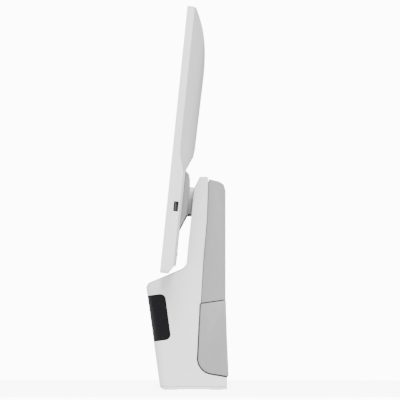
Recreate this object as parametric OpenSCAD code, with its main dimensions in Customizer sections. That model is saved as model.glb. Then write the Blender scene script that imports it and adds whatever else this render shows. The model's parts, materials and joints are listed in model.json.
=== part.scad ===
// Desktop video magnifier: a 24-inch display on a tilt hinge, carried by a narrow
// column whose base holds the page camera and its lamps behind a smoked window.
// Frame: +X across the screen, +Y towards the back, +Z up, origin on the table
// under the middle of the object. The screen faces -Y.

/* [Display] */
// Width of the display
display_w = 560; // [455:1:680]
// Height of the display, measured along its face
display_h = 349; // [285:1:425]
// Backward lean of the display at rest, in degrees
lean = 5.9; // [5:0.1:8]
// Border beside the picture
side_border = 14.3; // [12:0.1:20]
// Border above the picture
top_border = 15; // [12:0.5:25]
// Height of the chin below the picture, which carries the buttons
chin_h = 35; // [30:1:50]
// Depth of the bezel's upper part
bezel_d = 10; // [8.5:0.1:12]
// Depth of the bezel's lower part
bezel_low_d = 17; // [15:0.1:20]
// Depth of the display at its bulged back
bulge_d = 30.3; // [28:0.1:40]
// Height of the shoulder where the bulge ends
shoulder_h = 160; // [150:1:170]
// Radius of the display's corners
display_r = 6; // [3:0.5:10]

/* [Stand] */
// Width of the stand
stand_w = 280; // [235:1:340]
// Height of the column
column_h = 279; // [262:1:335]
// How far the base reaches forward of the column's face
lip_reach = 53; // [45:1:64]
// How far the covers reach behind the column's face
rear_reach = 51; // [49:1:60]
// Radius of the base's front corners
corner_r = 12; // [6:1:20]
// Thickness of the plastic walls
wall = 3; // [2.4:0.1:3.4]
// Width of the seams between shells
seam = 0.8; // [0.5:0.1:1.2]

/* [Hinge] */
// Radius of the tilt pin
pin_r = 4; // [3:0.1:5]
// Running clearance of the tilt pin, on the radius
pin_clear = 0.05; // [0.02:0.01:0.1]
// Width of the neck
neck_w = 190; // [150:1:210]

/* [Camera] */
// Radius of the lens barrel
barrel_r = 11; // [9:0.5:12]
// Downward tilt of the camera, in degrees
camera_tilt = 30; // [20:1:35]

/* [Buttons] */
// Diameter of the front buttons
button_d = 13; // [10:0.5:16]
// Distance between the buttons
button_pitch = 34; // [24:1:44]
// Travel of the buttons
button_travel = 0.8; // [0.4:0.1:1]

/* [Hidden] */
$fn = 48;

white = "#e4e4e2";
light_grey = "#b9bab9";
near_black = "#1b1c1e";
steel = "#a9adb1";
board_green = "#2c5a45";
eps = 0.01;

// ---- outline helpers ------------------------------------------------------

// Points of an arc about c, from angle a0 to angle a1, in n steps
function arc(c, r, a0, a1, n) =
    [for (i = [0 : n]) let (a = a0 + (a1 - a0) * i / n) [c[0] + r * cos(a), c[1] + r * sin(a)]];

function unit(v) = v / norm(v);
function inward(a, b) = let (v = unit(b - a)) [-v[1], v[0]];

// A counter-clockwise outline moved inwards by d on every edge
function inset_outline(pts, d) = [
    for (i = [0 : len(pts) - 1])
        let (p = pts[i],
             n1 = inward(pts[(i + len(pts) - 1) % len(pts)], p),
             n2 = inward(p, pts[(i + 1) % len(pts)]),
             k = 1 + n1 * n2)
        p + (n1 + n2) * d / k
];

// An outline in (depth, height), drawn across the width w
module across(w, x0 = 0) {
    translate([x0 - w / 2, 0, 0]) rotate([90, 0, 90]) linear_extrude(w) children();
}

module rounded_rect(w, h, r) {
    translate([-w / 2, r]) square([w, h - 2 * r]);
    translate([-w / 2 + r, 0]) square([w - 2 * r, h]);
    for (x = [-1, 1], y = [r, h - r])
        translate([x * (w / 2 - r), y]) circle(r);
}

// A cylinder along +Y from y0 to y1
module rod_y(r, y0, y1) {
    translate([0, y0, 0]) rotate([-90, 0, 0]) cylinder(r = r, h = y1 - y0);
}

// A cylinder along +X from x0 to x1
module rod_x(r, x0, x1) {
    translate([x0, 0, 0]) rotate([0, 90, 0]) cylinder(r = r, h = x1 - x0);
}

// ---- placing the display on its hinge -------------------------------------

// Tilt axis: behind the column's front face and below the column's top
pivot_y = 18;
pivot_drop = 33;
pivot_z = column_h - pivot_drop;
// The same axis in the display's own frame: depth behind its face, height above its foot
hinge_t = 44;
hinge_h = 97.1;
display_y = pivot_y - hinge_t * cos(lean) - hinge_h * sin(lean);
display_z = pivot_z - hinge_h * cos(lean) + hinge_t * sin(lean);

// Children are drawn with the screen's face on y = 0 and its foot on z = 0
module in_display() {
    translate([0, display_y, display_z]) rotate([-lean, 0, 0]) children();
}

// ---- display --------------------------------------------------------------

bezel_wall = 2.2;
flange_w = 9;
panel_margin = 2.5;
picture_w = display_w - 2 * side_border;
picture_h = display_h - top_border - chin_h;
foot_chamfer_h = 9;
foot_chamfer_t = 11;
crown_t = bezel_d + 1;
crown_h = 87;
crown_power = 2.5;
crown_steps = 10;
bulge_low_d = bulge_d - 1.5;
back_plate_t = 2.5;
back_plate_inset = 4;
back_low_d = bezel_low_d + back_plate_t;
scoop_h = shoulder_h + 6;
scoop_low_h = shoulder_h - 26;

// Rear edge of the bezel from its foot to the top: deep below, then a concave scoop
bezel_rear = concat(
    [[foot_chamfer_t, 0], [bezel_low_d, foot_chamfer_h], [bezel_low_d, scoop_low_h]],
    [for (i = [1 : 4]) let (s = i / 4)
        [bezel_low_d - (bezel_low_d - bezel_d) * sin(90 * s), scoop_low_h + (scoop_h - scoop_low_h) * s]],
    [[bezel_d, display_h]]);

bezel_profile = concat([[0, 0]], bezel_rear, [[0, display_h]]);

// Rear surface of the back cover from the crown down to its foot
function crown_depth(s) = crown_t + (bulge_d - crown_t) * (1 - pow(1 - s, crown_power));
back_rear = concat(
    [[back_low_d, foot_chamfer_h + 5], [back_low_d, scoop_low_h + 3]],
    [[bulge_low_d - 4.8, shoulder_h - 12.5], [bulge_low_d - 1.2, shoulder_h - 4.5],
     [bulge_low_d, shoulder_h + 6]],
    [for (i = [crown_steps : -1 : 0]) let (s = i / crown_steps)
        [crown_depth(s), display_h - crown_h * s]]);

back_profile = concat(
    [for (p = bezel_rear) if (p[1] >= foot_chamfer_h) p + [0, p[1] == foot_chamfer_h ? 1 : 0]],
    [for (i = [len(back_rear) - 1 : -1 : 0]) back_rear[i]]);

// The outline runs up the front edge and down the rear, so it is turned round here
function turned(pts) = [for (i = [len(pts) - 1 : -1 : 0]) pts[i]];
back_outline = turned(back_profile);

// Plan of the bulge, in (x, depth): sloping sides that round into the back
bulge_half = display_w / 2 - 2;
bulge_plan = [
    [-bulge_half, 0], [bulge_half, 0], [bulge_half, bezel_d],
    [bulge_half - 10, bezel_d + 14], [bulge_half - 16, bezel_d + 17],
    [bulge_half - 30, bulge_d - 1.6], [bulge_half - 80, bulge_d + 2],
    [-bulge_half + 80, bulge_d + 2], [-bulge_half + 30, bulge_d - 1.6],
    [-bulge_half + 16, bezel_d + 17], [-bulge_half + 10, bezel_d + 14], [-bulge_half, bezel_d]
];

// The hollow of the bulge before it is taken in by the wall
bulge_hollow = concat(
    [[0, shoulder_h + 4], [bulge_low_d, shoulder_h + 4]],
    [for (i = [crown_steps : -1 : 0]) let (s = i / crown_steps)
        [crown_depth(s), display_h - crown_h * s]],
    [[0, display_h]]);

module display_outline(inset = 0) {
    translate([0, inset]) rounded_rect(display_w - 2 * inset, display_h - 2 * inset, display_r);
}

// The display's front outline drawn from depth t0 to t1
module display_slab(t0, t1, inset = 0) {
    translate([0, t1, 0]) rotate([90, 0, 0]) linear_extrude(t1 - t0) display_outline(inset);
}

button_clear = 0.3;
collar_w = 1.3;
button_h = flange_w + 0.2 + collar_w + button_d / 2;
button_x = [for (i = [-2 : 2]) i * button_pitch];
usb_h = 88;
usb_t = bezel_low_d - 5;
usb_w = 13;
usb_thick = 6.2;
usb_depth = side_border - panel_margin - 0.8;

module front_bezel() color(white) in_display() difference() {
    intersection() {
        across(display_w) polygon(bezel_profile);
        display_slab(-1, bezel_low_d + 1);
    }
    // inside, narrow below so that the deep part keeps a flange
    translate([-display_w / 2 + bezel_wall, bezel_wall, scoop_h])
        cube([display_w - 2 * bezel_wall, bezel_low_d, display_h - scoop_h - bezel_wall]);
    translate([-display_w / 2 + flange_w, bezel_wall, flange_w])
        cube([display_w - 2 * flange_w, bezel_low_d, scoop_h - flange_w + eps]);
    // picture opening
    translate([-picture_w / 2, -1, chin_h]) cube([picture_w, bezel_wall + 2, picture_h]);
    for (x = button_x)
        translate([x, 0, button_h]) rod_y(button_d / 2 + button_clear, -1, bezel_wall + 1);
    // socket opening in the side
    translate([display_w / 2 - usb_depth, usb_t - usb_thick / 2, usb_h - usb_w / 2])
        cube([usb_depth + 1, usb_thick, usb_w]);
}

vent_pitch = 9;
vent_w = 3.2;
module back_cover() color(light_grey) in_display() difference() {
    union() {
        intersection() {
            across(2 * bulge_half) polygon(back_outline);
            linear_extrude(display_h) polygon(bulge_plan);
            display_slab(0, bulge_d + 5, 1);
        }
        intersection() {
            translate([-display_w / 2 + back_plate_inset, bezel_low_d, foot_chamfer_h + 1])
                cube([display_w - 2 * back_plate_inset, back_plate_t, scoop_low_h - foot_chamfer_h + 1]);
            display_slab(0, bulge_d, back_plate_inset - 1);
        }
    }
    intersection() {
        across(display_w) polygon(inset_outline(bulge_hollow, back_plate_t));
        linear_extrude(display_h) polygon(inset_outline(bulge_plan, back_plate_t));
    }
    // cooling slots under the crown
    for (i = [-20 : 20])
        translate([i * vent_pitch - vent_w / 2, crown_t, display_h - 34]) cube([vent_w, 25, 12]);
    // sound slots behind the speakers
    for (side = [-1, 1], i = [-3 : 3])
        translate([side * speaker_x + i * vent_pitch - vent_w / 2, bulge_low_d - 6, shoulder_h + 12])
            cube([vent_w, 12, 20]);
    // screw holes of the hinge plate
    for (x = [-1, 1], z = [-1, 1])
        translate([x * hinge_screw_x, 0, hinge_h + z * hinge_screw_z]) rod_y(2.2, bezel_low_d - 5, back_low_d + 1);
}

glass_t = 1.6;
guide_t = 3;
tray_t = 1;
lip_clear = 0.2;
panel_w = picture_w + 2 * panel_margin;
panel_h = picture_h + 2 * panel_margin;
panel_z = chin_h - panel_margin;
glass_y = bezel_wall + lip_clear;

module lcd_glass() color(near_black) in_display()
    translate([-panel_w / 2, glass_y, panel_z]) cube([panel_w, glass_t, panel_h]);

module light_guide() color("#dfe7ea") in_display()
    translate([-panel_w / 2, glass_y + glass_t, panel_z + 3]) cube([panel_w, guide_t, panel_h - 3]);

module led_strip() color("#e9e2b8") in_display()
    translate([-panel_w / 2 + 5, glass_y + glass_t, panel_z]) cube([panel_w - 10, guide_t, 3 - lip_clear]);

module panel_tray() color(steel) in_display()
    translate([-panel_w / 2, glass_y + glass_t + guide_t, panel_z]) cube([panel_w, tray_t, panel_h]);

tray_y = glass_y + glass_t + guide_t + tray_t;
pcb_t = 1.6;
display_board_w = 190;
display_board_h = 90;
display_board_z = display_h - crown_h - 57;
chip_x = [-60, -10, 45];

module display_board() color(board_green) in_display() {
    translate([-display_board_w / 2, tray_y + 5, display_board_z]) cube([display_board_w, pcb_t, display_board_h]);
    for (x = [-1, 1], z = [8, display_board_h - 8])
        translate([x * (display_board_w / 2 - 8), 0, display_board_z + z]) rod_y(3, tray_y, tray_y + 5);
}

module board_chips() color(near_black) in_display()
    for (x = chip_x)
        translate([x - 12, tray_y + 5 + pcb_t, display_board_z + 33]) cube([24, 2, 24]);

fin_pitch = 8;
module heat_spreader() color(steel) in_display()
    translate([0, tray_y + 7 + pcb_t, display_board_z + 30]) {
        translate([-80, 0, 0]) cube([150, 1.5, 30]);
        for (i = [0 : 18])
            translate([-80 + i * fin_pitch, 0, 0]) cube([1.5, 6, 30]);
    }

speaker_x = display_w / 2 - 75;
module speakers() color(near_black) in_display()
    for (side = [-1, 1])
        translate([side * speaker_x, tray_y, shoulder_h + 22]) difference() {
            union() {
                translate([-34, 0, -14]) cube([68, 11, 28]);
                rod_y(12, 10.5, 13);
            }
            rod_y(10, 12, 14);
        }

module usb_socket() color("#3a3b3d") in_display()
    translate([display_w / 2 - usb_depth, usb_t - usb_thick / 2, usb_h - usb_w / 2]) difference() {
        cube([usb_depth - 0.4, usb_thick, usb_w]);
        translate([1, 0.5, 0.5]) cube([usb_depth, usb_thick - 1, usb_w - 1]);
    }

module usb_tongue() color(near_black) in_display()
    translate([display_w / 2 - usb_depth + 1, usb_t - 1.6, usb_h - 5.5]) cube([usb_depth - 3, 1.8, 11]);

key_gap = 0.15;
switch_y = bezel_wall + 3.2;
key_board_y = switch_y + 1.6;
module key_board() color(board_green) in_display()
    translate([-2.7 * button_pitch, key_board_y, button_h - 7]) cube([5.4 * button_pitch, pcb_t, 16]);

module key_switches() color(near_black) in_display()
    for (x = button_x)
        translate([x - 3, switch_y + button_travel + key_gap, button_h - 3])
            cube([6, key_board_y - switch_y - button_travel - key_gap, 6]);

// A round key with a collar behind the bezel wall; it moves into the display
button_proud = 0.5;
module button(x) in_display() translate([x, 0, button_h]) {
    rod_y(button_d / 2, -button_proud, bezel_wall + key_gap + 1.2);
    rod_y(button_d / 2 + collar_w, bezel_wall + key_gap, bezel_wall + key_gap + 1.2);
    rod_y(2, bezel_wall + 1, switch_y);
}
module power_button() color("#c9402f") button(button_x[0]);
module mode_button() color("#e8b93a") button(button_x[1]);
module zoom_out_button() color("#3f79b5") button(button_x[2]);
module zoom_in_button() color("#3f79b5") button(button_x[3]);
module freeze_button() color("#5b9f6b") button(button_x[4]);

hinge_screw_x = neck_w / 2 - 9;
hinge_screw_z = 12;
screw_r = 2;
plate_y = bezel_low_d - 2.5;
module hinge_plate() color(steel) in_display() difference() {
    translate([-neck_w / 2 - 20, plate_y, hinge_h - 30]) cube([neck_w + 40, 2.5, 60]);
    for (x = [-1, 1], z = [-1, 1])
        translate([x * hinge_screw_x, 0, hinge_h + z * hinge_screw_z]) rod_y(screw_r, 0, 40);
}

shroud_t = 2;
shroud_w = neck_w + 24;
shroud_profile = [
    [back_low_d, hinge_h - 39], [back_low_d + 7, hinge_h - 19.2], [back_low_d + 8.1, hinge_h + 15],
    [back_low_d + 6.9, scoop_low_h - 8.9], [back_low_d + 5.1, scoop_low_h - 2.4], [back_low_d, scoop_low_h + 2.1]
];
module hinge_shroud() color(light_grey) in_display() difference() {
    across(shroud_w) polygon(shroud_profile);
    across(shroud_w - 2 * shroud_t) polygon(concat(
        [[back_low_d - 1, hinge_h - 36]],
        [for (i = [1 : 4]) shroud_profile[i] + [-shroud_t, i < 2 ? 1 : -1]],
        [[back_low_d - 1, scoop_low_h - 0.9]]));
    // the neck leaves through the back
    translate([-neck_w / 2 - 0.3, back_low_d + 1, hinge_h - 18.3]) cube([neck_w + 0.6, 20, 36.6]);
}

// A black strip along the underside of the shroud and the neck
trim_reach = 33.5;
trim_t = 2.5;
trim_y = back_low_d + 8.5;
module shroud_trim() color(near_black) in_display() {
    across(shroud_w) polygon([
        [back_low_d, hinge_h - 39 - trim_t * 1.2], [trim_y, hinge_h - 21],
        [trim_y, hinge_h - neck_half_h - 0.1],
        [trim_y - 1.3, hinge_h - neck_half_h - 0.1], shroud_profile[1], shroud_profile[0]]);
    across(neck_w) polygon([
        [trim_y - 0.5, hinge_h - 21], [trim_reach, hinge_h - 20.6], [trim_reach, hinge_h - neck_half_h - 0.1],
        [trim_y - 0.5, hinge_h - neck_half_h - 0.1]]);
}

barrel_half = 9;
neck_half_h = 18;
neck_profile = [
    [back_low_d, hinge_h - neck_half_h], [hinge_t - 9, hinge_h - neck_half_h],
    [hinge_t - 3, hinge_h - barrel_half], [hinge_t - 3, hinge_h + barrel_half],
    [hinge_t - 9, hinge_h + neck_half_h], [back_low_d, hinge_h + neck_half_h]
];
module neck() color("#6f7276") in_display() difference() {
    union() {
        across(neck_w) polygon(neck_profile);
        translate([0, hinge_t, hinge_h]) rod_x(barrel_half, -neck_w / 2, neck_w / 2);
    }
    translate([0, hinge_t, hinge_h]) rod_x(pin_r + pin_clear, -neck_w, neck_w);
    for (x = [-1, 1], z = [-1, 1])
        translate([x * hinge_screw_x, 0, hinge_h + z * hinge_screw_z]) rod_y(screw_r, back_low_d - 1, back_low_d + 9);
}

module neck_screws() color(steel) in_display()
    for (x = [-1, 1], z = [-1, 1])
        translate([x * hinge_screw_x, 0, hinge_h + z * hinge_screw_z]) {
            rod_y(screw_r, plate_y, back_low_d + 8);
            rod_y(3.5, plate_y - 2, plate_y);
        }

module cover_screws() color(steel) in_display()
    for (x = [-1, 1], z = [24, scoop_low_h - 12])
        translate([x * (display_w / 2 - 16), 0, z]) rod_y(2.4, back_low_d, back_low_d + 0.6);

// ---- stand outlines, in (depth, height) ------------------------------------

foot_proud = 0.8;
base_t = 3;
floor_z = foot_proud;
shelf_slope = 22.3;
shelf_front_z = pivot_z - 106.5;
lip_y = -1 - lip_reach;
lip_z = shelf_front_z - 5;
toe_y = lip_y + 18;
toe_chamfer = 3;
shelf_corner_r = 13;
face_y = -0.9;
shelf_corner_z = shelf_front_z + 29;
rear_y = rear_reach - 1;
ledge_y = rear_y + 2;
door_low_y = rear_y + 4;
door_r = 20;
door_c = [34, 41];
door_gap = 1.8;
door_top_front = [17.6, 112.5];
door_top_rear = [rear_y + 0.5, 117.2];
door_foot_z = 17.5;
split_low = [door_top_front[0], door_top_front[1] + 1.3];
split_mid = [20.8, 170];
split_high = [25.4, column_h - 57];
split_top = [27.3, column_h - 5];

// Column face, shelf and base front, from the top corner down to the toe
front_edge = concat(
    [[26.7, column_h], [16.3, column_h], [9.1, column_h - 14], [5.2, column_h - 51.5],
     [0.9, shelf_corner_z + 20]],
    arc([face_y - shelf_corner_r, shelf_corner_z], shelf_corner_r, 0, shelf_slope - 90, 6),
    [[lip_y + 1.8, shelf_front_z - 1.1], [lip_y, lip_z],
     [toe_y, floor_z + toe_chamfer], [toe_y + toe_chamfer, floor_z]]);

// The whole stand, shells and covers together
stand_outline = concat(
    [[ledge_y, floor_z], [ledge_y, door_foot_z - door_gap], [door_low_y, door_foot_z],
     [door_low_y - 0.6, 35], [rear_y + 2, 66], [rear_y + 0.7, 105], door_top_rear,
     [rear_y, 119], [rear_y, column_h - 18], [rear_y - 2.5, column_h - 10],
     [rear_y - 9, column_h - 6], [28, column_h - 3]],
    front_edge);

// The lower rear door's own edge, from its top front corner round to its foot
door_edge = concat([door_top_front], arc(door_c, door_r, 180, 262, 8), [[door_low_y, door_foot_z]]);
door_profile = concat(door_edge, [[door_low_y + 6, door_foot_z], [door_low_y + 6, 117.8], door_top_rear]);

// The edge of the white shell round the door
shell_edge = concat(
    [[ledge_y + 1, door_foot_z - door_gap]], arc(door_c, door_r + door_gap, 262, 180, 8),
    [[door_top_front[0] - door_gap, door_top_front[1]]]);

split_line = [split_low, split_mid, split_high, split_top, [26.7, column_h + 1]];

shell_profile = concat(
    [[lip_y - 5, floor_z + base_t + 0.3], [ledge_y + 1, floor_z + base_t + 0.3]], shell_edge, split_line,
    [[lip_y - 5, column_h + 1]]);

upper_profile = concat(
    [split_low + [seam, 0], [rear_y + 3, door_top_rear[1] + 1.4], [rear_y + 3, column_h + 1],
     [27.5 + seam, column_h + 1]],
    turned([for (i = [1 : 3]) split_line[i] + [seam, 0]]));

// ---- stand shells ----------------------------------------------------------

front_lean = atan2(toe_y - lip_y, lip_z - floor_z);

// The front corners are rounded along the leaning front face
module front_rounding(inset) {
    translate([0, lip_y, lip_z]) rotate([front_lean, 0, 0]) translate([0, 0, -300]) linear_extrude(700) {
        translate([-stand_w / 2 + inset, corner_r]) square([stand_w - 2 * inset, 300]);
        translate([-stand_w / 2 + corner_r, inset]) square([stand_w - 2 * corner_r, 300]);
        for (side = [-1, 1])
            translate([side * (stand_w / 2 - corner_r), corner_r]) circle(corner_r - inset);
    }
}

module stand_core(inset = 0) intersection() {
    across(stand_w - 2 * inset) polygon(inset_outline(stand_outline, inset));
    front_rounding(inset);
}

window_low_z = 68;
window_high_z = lip_z - 6.5;
window_depth = 23;
window_r = 7;
window_flange_t = 1.4;
window_flange = 3;
window_gap = 0.4;
function front_y(z) = lip_y + (lip_z - z) * tan(front_lean);

// Side outline of the wrap-around window, with rounded rear corners
module window_outline(grow = 0) rotate(front_lean) {
    low = window_low_z / cos(front_lean);
    y1 = front_y(0) * cos(front_lean) + window_depth;
    h = window_high_z - window_low_z;
    translate([y1 - window_depth - 20, low - grow]) square([window_depth + 20 - window_r, h + 2 * grow]);
    translate([y1 - window_r - 5, low + window_r - grow]) square([window_r + 5 + grow, h - 2 * window_r + 2 * grow]);
    for (z = [low + window_r, low + h - window_r])
        translate([y1 - window_r, z]) circle(window_r + grow);
}

slot_below = neck_half_h + 4;
slot_above = neck_half_h + 11;
module front_shell() color(white) difference() {
    intersection() {
        stand_core();
        across(stand_w) polygon(shell_profile);
    }
    stand_core(wall);
    across(stand_w + 2) window_outline(window_gap);
    // slot for the neck
    translate([-neck_w / 2 - 2, pivot_y - 30, pivot_z - slot_below]) cube([neck_w + 4, 28, slot_below + slot_above]);
}

cover_floor = 3;
// A tongue behind the shell's edge, along the whole seam
tongue_t = 1.6;
tongue_reach = 3;
module cover_tongue() difference() {
    intersection() {
        stand_core(wall);
        across(stand_w) polygon(concat(
            [for (i = [0 : 3]) split_line[i] + [-tongue_reach, i == 0 ? 0.1 : 0]],
            [[split_top[0] - tongue_reach, column_h], [split_top[0] + tongue_reach + 1, column_h]],
            turned([for (i = [0 : 3]) split_line[i] + [tongue_reach + 1, 0.6]])));
    }
    stand_core(wall + tongue_t);
}

module upper_cover() color(light_grey) {
    upper_shell();
    cover_tongue();
    door_lugs();
}

module upper_shell() difference() {
    intersection() {
        stand_core();
        across(stand_w) polygon(upper_profile);
    }
    difference() {
        stand_core(wall);
        across(stand_w) polygon([[0, 0], [80, 0], [80, 122.5], [0, 112.5 + cover_floor]]);
    }
    // opening for the wires between column and base
    translate([-50, 0, 100]) cube([100, 40, 40]);
}

module door_lugs() for (side = [-1, 1]) {
    x0 = side > 0 ? lug_x0 : -lug_x1;
    difference() {
        union() {
            translate([x0, door_pivot[0] - lug_r, door_pivot[1]]) cube([lug_x1 - lug_x0, 2 * lug_r, 6]);
            translate([0, door_pivot[0], door_pivot[1]]) rod_x(lug_r, x0, x0 + lug_x1 - lug_x0);
        }
        translate([0, door_pivot[0], door_pivot[1]]) rod_x(door_pin_r, -stand_w, stand_w);
    }
}

// The window fills its opening, and its flange lies behind the shell's edge
module camera_window() color(near_black) difference() {
    union() {
        intersection() {
            stand_core();
            across(stand_w) window_outline();
        }
        intersection() {
            stand_core(wall);
            across(stand_w) window_outline(window_flange);
        }
    }
    stand_core(wall + window_flange_t);
}

tub_in = 0.8;
tub_out = 2.4;
function tub_edge(d) = concat(
    [door_top_front + [-d, 0.8]], arc(door_c, door_r + d, 180, 262, 8), [[rear_y - 2, door_foot_z + 0.5 - d]]);
tub_w = stand_w - 2 * wall - 0.6;
socket_z = 78;
socket_x = [-62, 0, 52];
socket_w = [14, 16, 18];
socket_h = [9, 7, 15];
module bay_tub() color(near_black) difference() {
    across(tub_w) polygon(concat(tub_edge(-tub_in), turned(tub_edge(tub_out))));
    for (i = [0 : 2])
        translate([socket_x[i] - socket_w[i] / 2, 5, socket_z - socket_h[i] / 2]) cube([socket_w[i], 20, socket_h[i]]);
}

module base_plate() color(white) difference() {
    intersection() {
        stand_core();
        translate([-stand_w, -100, 0]) cube([2 * stand_w, 200, floor_z + base_t]);
    }
    for (p = foot_places)
        translate([p[0], p[1], 0]) cylinder(r = foot_r, h = floor_z + 1.2);
    for (p = screw_places)
        translate([p[0], p[1], 0]) cylinder(r = screw_r, h = 10);
}

foot_r = 9;
foot_places = [for (x = [-1, 1], y = [toe_y + 14, ledge_y - 14]) [x * (stand_w / 2 - 22), y]];
module feet() color("#2a2a2b")
    for (p = foot_places) translate([p[0], p[1], 0]) cylinder(r = foot_r, h = floor_z + 1.2);

screw_places = [for (x = [-45, 45], y = [-16, 0]) [x, y]];
module base_screws() color(steel)
    for (p = screw_places) translate([p[0], p[1], 0]) {
        translate([0, 0, floor_z]) cylinder(r = screw_r, h = base_t + 6);
    }

spine_low_w = 120;
spine_low_y = 6;
ballast_x0 = spine_low_w / 2 + 4;
ballast_w = stand_w / 2 - wall - 13 - ballast_x0;
ballast_y0 = toe_y + 8;
ballast_y1 = spine_low_y + 4;
ballast_top = 36;
module ballast_blocks() color("#55585c")
    for (side = [-1, 1])
        translate([side * (ballast_x0 + ballast_w / 2) - ballast_w / 2, ballast_y0, floor_z + base_t])
            cube([ballast_w, ballast_y1 - ballast_y0, ballast_top - floor_z - base_t]);

// ---- spine and hinge --------------------------------------------------------

spine_w = neck_w + 20;
spine_step_z = 130;
spine_t = 3;
spine_base_z = floor_z + base_t;
spine_high_y = pivot_y + 12;
ear_t = 7;
ear_gap = 2;
ear_r = 7.5;
spine_profile = [
    [-24, spine_base_z], [spine_low_y + spine_t, spine_base_z], [spine_low_y + spine_t, 114],
    [spine_high_y + spine_t, pivot_z - 32], [spine_high_y + spine_t, pivot_z + 18], [spine_high_y, pivot_z + 18],
    [spine_high_y, pivot_z - 31], [spine_low_y, 115], [spine_low_y, spine_base_z + spine_t],
    [-24, spine_base_z + spine_t]
];
module spine() color(steel) difference() {
    union() {
        across(spine_low_w) polygon(spine_profile);
        intersection() {
            across(spine_w) polygon(spine_profile);
            translate([-spine_w, -50, spine_step_z]) cube([2 * spine_w, 100, column_h]);
        }
        for (side = [-1, 1])
            translate([side * (neck_w / 2 + ear_gap + ear_t / 2), 0, 0]) {
                across(ear_t) polygon([[pivot_y, pivot_z - ear_r], [spine_high_y + 1, pivot_z - 16],
                    [spine_high_y + 1, pivot_z + 16], [pivot_y, pivot_z + ear_r]]);
                translate([0, pivot_y, pivot_z]) rod_x(ear_r, -ear_t / 2, ear_t / 2);
            }
    }
    translate([0, pivot_y, pivot_z]) rod_x(pin_r, -spine_w, spine_w);
    for (p = screw_places)
        translate([p[0], p[1], 0]) cylinder(r = screw_r, h = 20);
}

module spine_screws() color(steel)
    for (p = screw_places)
        translate([p[0], p[1], spine_base_z + spine_t]) difference() {
            cylinder(r = 3.6, h = 3, $fn = 6);
            cylinder(r = screw_r, h = 4);
        }

nut_t = 3.5;
module tilt_pin() color(steel) translate([0, pivot_y, pivot_z])
    rod_x(pin_r, -spine_w / 2 - 4.5, spine_w / 2 + 4.5);

module pin_nuts() color(steel) translate([0, pivot_y, pivot_z])
    for (side = [-1, 1])
        translate([side * (neck_w / 2 + ear_gap + ear_t + nut_t / 2), 0, 0]) difference() {
            rotate([0, 90, 0]) cylinder(r = 7.4, h = nut_t, center = true, $fn = 6);
            rod_x(pin_r, -5, 5);
        }

washer_clear = 0.05;
washer_r = 7.4;
module friction_washers() color("#8a6d3b") translate([0, pivot_y, pivot_z])
    for (side = [-1, 1]) {
        x0 = side > 0 ? neck_w / 2 + washer_clear : -neck_w / 2 - ear_gap;
        difference() {
            rod_x(washer_r, x0, x0 + ear_gap - washer_clear);
            rod_x(pin_r, -neck_w, neck_w);
        }
    }

// ---- camera and lamps --------------------------------------------------------

camera_y = spine_low_y - 27;
camera_z = (window_low_z + window_high_z) / 2 + 2;
barrel_clear = 0.05;
housing_w = 2 * barrel_r + 22;
housing_h = 2 * barrel_r + 10;
module in_camera() {
    translate([0, camera_y, camera_z]) rotate([camera_tilt, 0, 0]) children();
}

module camera_housing() color("#303236") in_camera() difference() {
    translate([-housing_w / 2, -9, -housing_h / 2]) cube([housing_w, 29, housing_h]);
    rod_y(barrel_r + barrel_clear, -10, 12);
}

module lens_barrel() color(near_black) in_camera() difference() {
    rod_y(barrel_r, -11, 8);
    rod_y(barrel_r - 2, -12, -6);
    rod_y(barrel_r - 4, -12, 9);
}

module front_lens() color("#31435f") in_camera() rod_y(barrel_r - 2, -9, -6);

module sensor_board() color(board_green) in_camera()
    translate([-housing_w / 2 + 2, 20, -housing_h / 2 + 1]) cube([housing_w - 4, pcb_t, housing_h - 2]);

// Height of the camera plate's underside at depth y
bracket_t = 2;
function plate_under(y) =
    camera_z - (housing_h / 2 + bracket_t) / cos(camera_tilt) + (y - camera_y) * tan(camera_tilt);

// A bent strip from the housing's floor to the base flange of the spine
bracket_w = 36;
bracket_y = camera_y + 8;
bracket_z = spine_base_z + spine_t;
module camera_bracket() color(steel) {
    in_camera() translate([-bracket_w / 2, -4, -housing_h / 2 - bracket_t]) cube([bracket_w, 20, bracket_t]);
    across(bracket_w - 6) polygon([
        [bracket_y, bracket_z], [bracket_y + 12, bracket_z], [bracket_y + 12, bracket_z + bracket_t],
        [bracket_y + bracket_t, bracket_z + bracket_t],
        [bracket_y + bracket_t, plate_under(bracket_y + bracket_t) + 1],
        [bracket_y, plate_under(bracket_y) + 1]]);
}

lamp_w = stand_w / 2 - wall - corner_r - 7 - housing_w / 2 - 14;
lamp_x = housing_w / 2 + 14 + lamp_w / 2;
lamp_h = 24;
lamp_back = 14;
lamp_z = (window_low_z + window_high_z) / 2;
led_pitch = (lamp_w - 30) / 4;
module in_lamps() for (side = [-1, 1])
    translate([side * lamp_x, front_y(lamp_z), lamp_z]) rotate([front_lean, 0, 0]) children();

module lamp_trays() color("#d9dadb") in_lamps() difference() {
    translate([-lamp_w / 2, 5, -lamp_h / 2]) cube([lamp_w, lamp_back, lamp_h]);
    translate([-lamp_w / 2 + 2, 4, -lamp_h / 2 + 2]) cube([lamp_w - 4, lamp_back - 1, lamp_h - 4]);
}

module lamp_boards() color("#e8e9ea") in_lamps()
    translate([-lamp_w / 2 + 2, 3 + lamp_back - pcb_t, -lamp_h / 2 + 2]) cube([lamp_w - 4, pcb_t, lamp_h - 4]);

module lamp_leds() color("#f2e27a") in_lamps()
    for (i = [-2 : 2])
        translate([i * led_pitch - 2, 3 + lamp_back - pcb_t - 1.2, -2]) cube([4, 1.2, 4]);

module lamp_diffusers() color("#f4f6f8") in_lamps()
    translate([-lamp_w / 2 + 2, 5, -lamp_h / 2 + 2]) cube([lamp_w - 4, 2, lamp_h - 4]);

// ---- connector bay and its door ------------------------------------------------

socket_board_y = 9.2;
module socket_board() color(board_green)
    translate([-90, socket_board_y, 55]) cube([180, pcb_t, 46]);

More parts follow.
